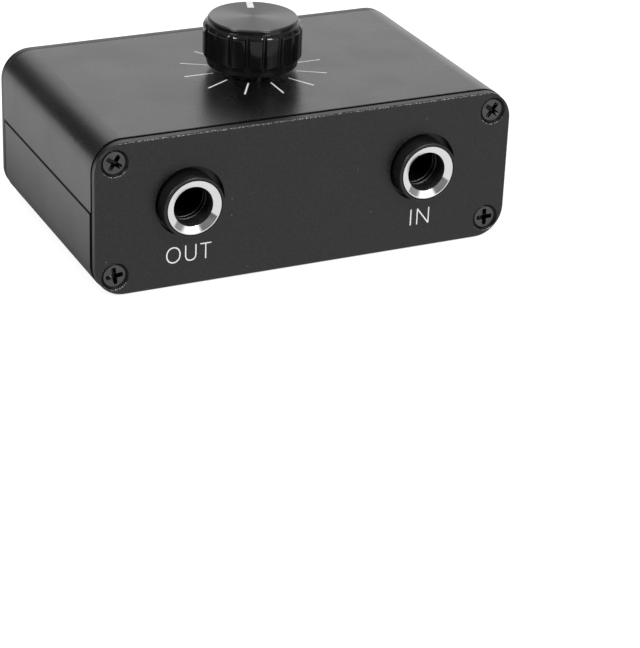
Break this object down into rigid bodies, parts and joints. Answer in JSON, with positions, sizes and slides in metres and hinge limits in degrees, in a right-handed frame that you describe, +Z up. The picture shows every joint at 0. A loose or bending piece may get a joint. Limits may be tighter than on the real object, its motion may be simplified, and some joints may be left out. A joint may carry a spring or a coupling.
{
  "type": "passive volume attenuator",
  "caption": "Small black aluminium box with an input jack and an output jack on its front plate and a fluted volume knob on top that turns a potentiometer.",
  "frame": {"origin": "middle of the box's flat underside, on the surface that it stands on", "axes": "+X to the right along the front plate as seen from the jacks' side, +Y from the jacks to the plain rear plate, +Z up along the knob's axis"},
  "size_m": [0.071, 0.0464, 0.0342],
  "materials": {
    "case_black": "black anodised, fine satin",
    "plate_black": "black anodised, fine satin",
    "screw_black": "black plated",
    "board_green": "solder-masked laminate",
    "jack_black": "moulded, smooth",
    "jack_chrome": "bright plated",
    "contact_metal": "tin plated",
    "pot_plastic": "moulded",
    "pot_carbon": "carbon film on phenolic",
    "pot_steel": "zinc plated",
    "pot_brass": "turned",
    "shaft_aluminium": "turned, serrated end",
    "knob_black": "glossy moulded",
    "cap_aluminium": "spun, black anodised"
  },
  "bodies": {
    "case": {"top_shell": "case_black", "bottom_shell": "case_black", "front_plate": "plate_black", "rear_plate": "plate_black", "front_plate_screws": "screw_black", "rear_plate_screws": "screw_black", "circuit_board": "board_green", "out_jack_housing": "jack_black", "in_jack_housing": "jack_black", "out_jack_ferrule": "jack_chrome", "in_jack_ferrule": "jack_chrome", "out_jack_tip_spring": "contact_metal", "out_jack_switch_contact": "contact_metal", "out_jack_sleeve_terminal": "contact_metal", "in_jack_tip_spring": "contact_metal", "in_jack_switch_contact": "contact_metal", "in_jack_sleeve_terminal": "contact_metal", "pot_terminals": "contact_metal", "pot_base": "pot_plastic", "pot_element": "pot_carbon", "pot_frame": "pot_steel", "pot_bush": "pot_brass"},
    "knob": {"knob_body": "knob_black", "knob_cap": "cap_aluminium", "pot_shaft": "shaft_aluminium", "pot_rotor": "pot_plastic", "pot_wiper": "contact_metal"}
  },
  "joints": [
    {"name": "volume_turn", "type": "hinge", "parent": "case", "child": "knob", "pos_m": [-0.0002, 0.0003, 0.0253], "axis": [0, 0, 1], "range_deg": [-300, 0]}
  ]
}
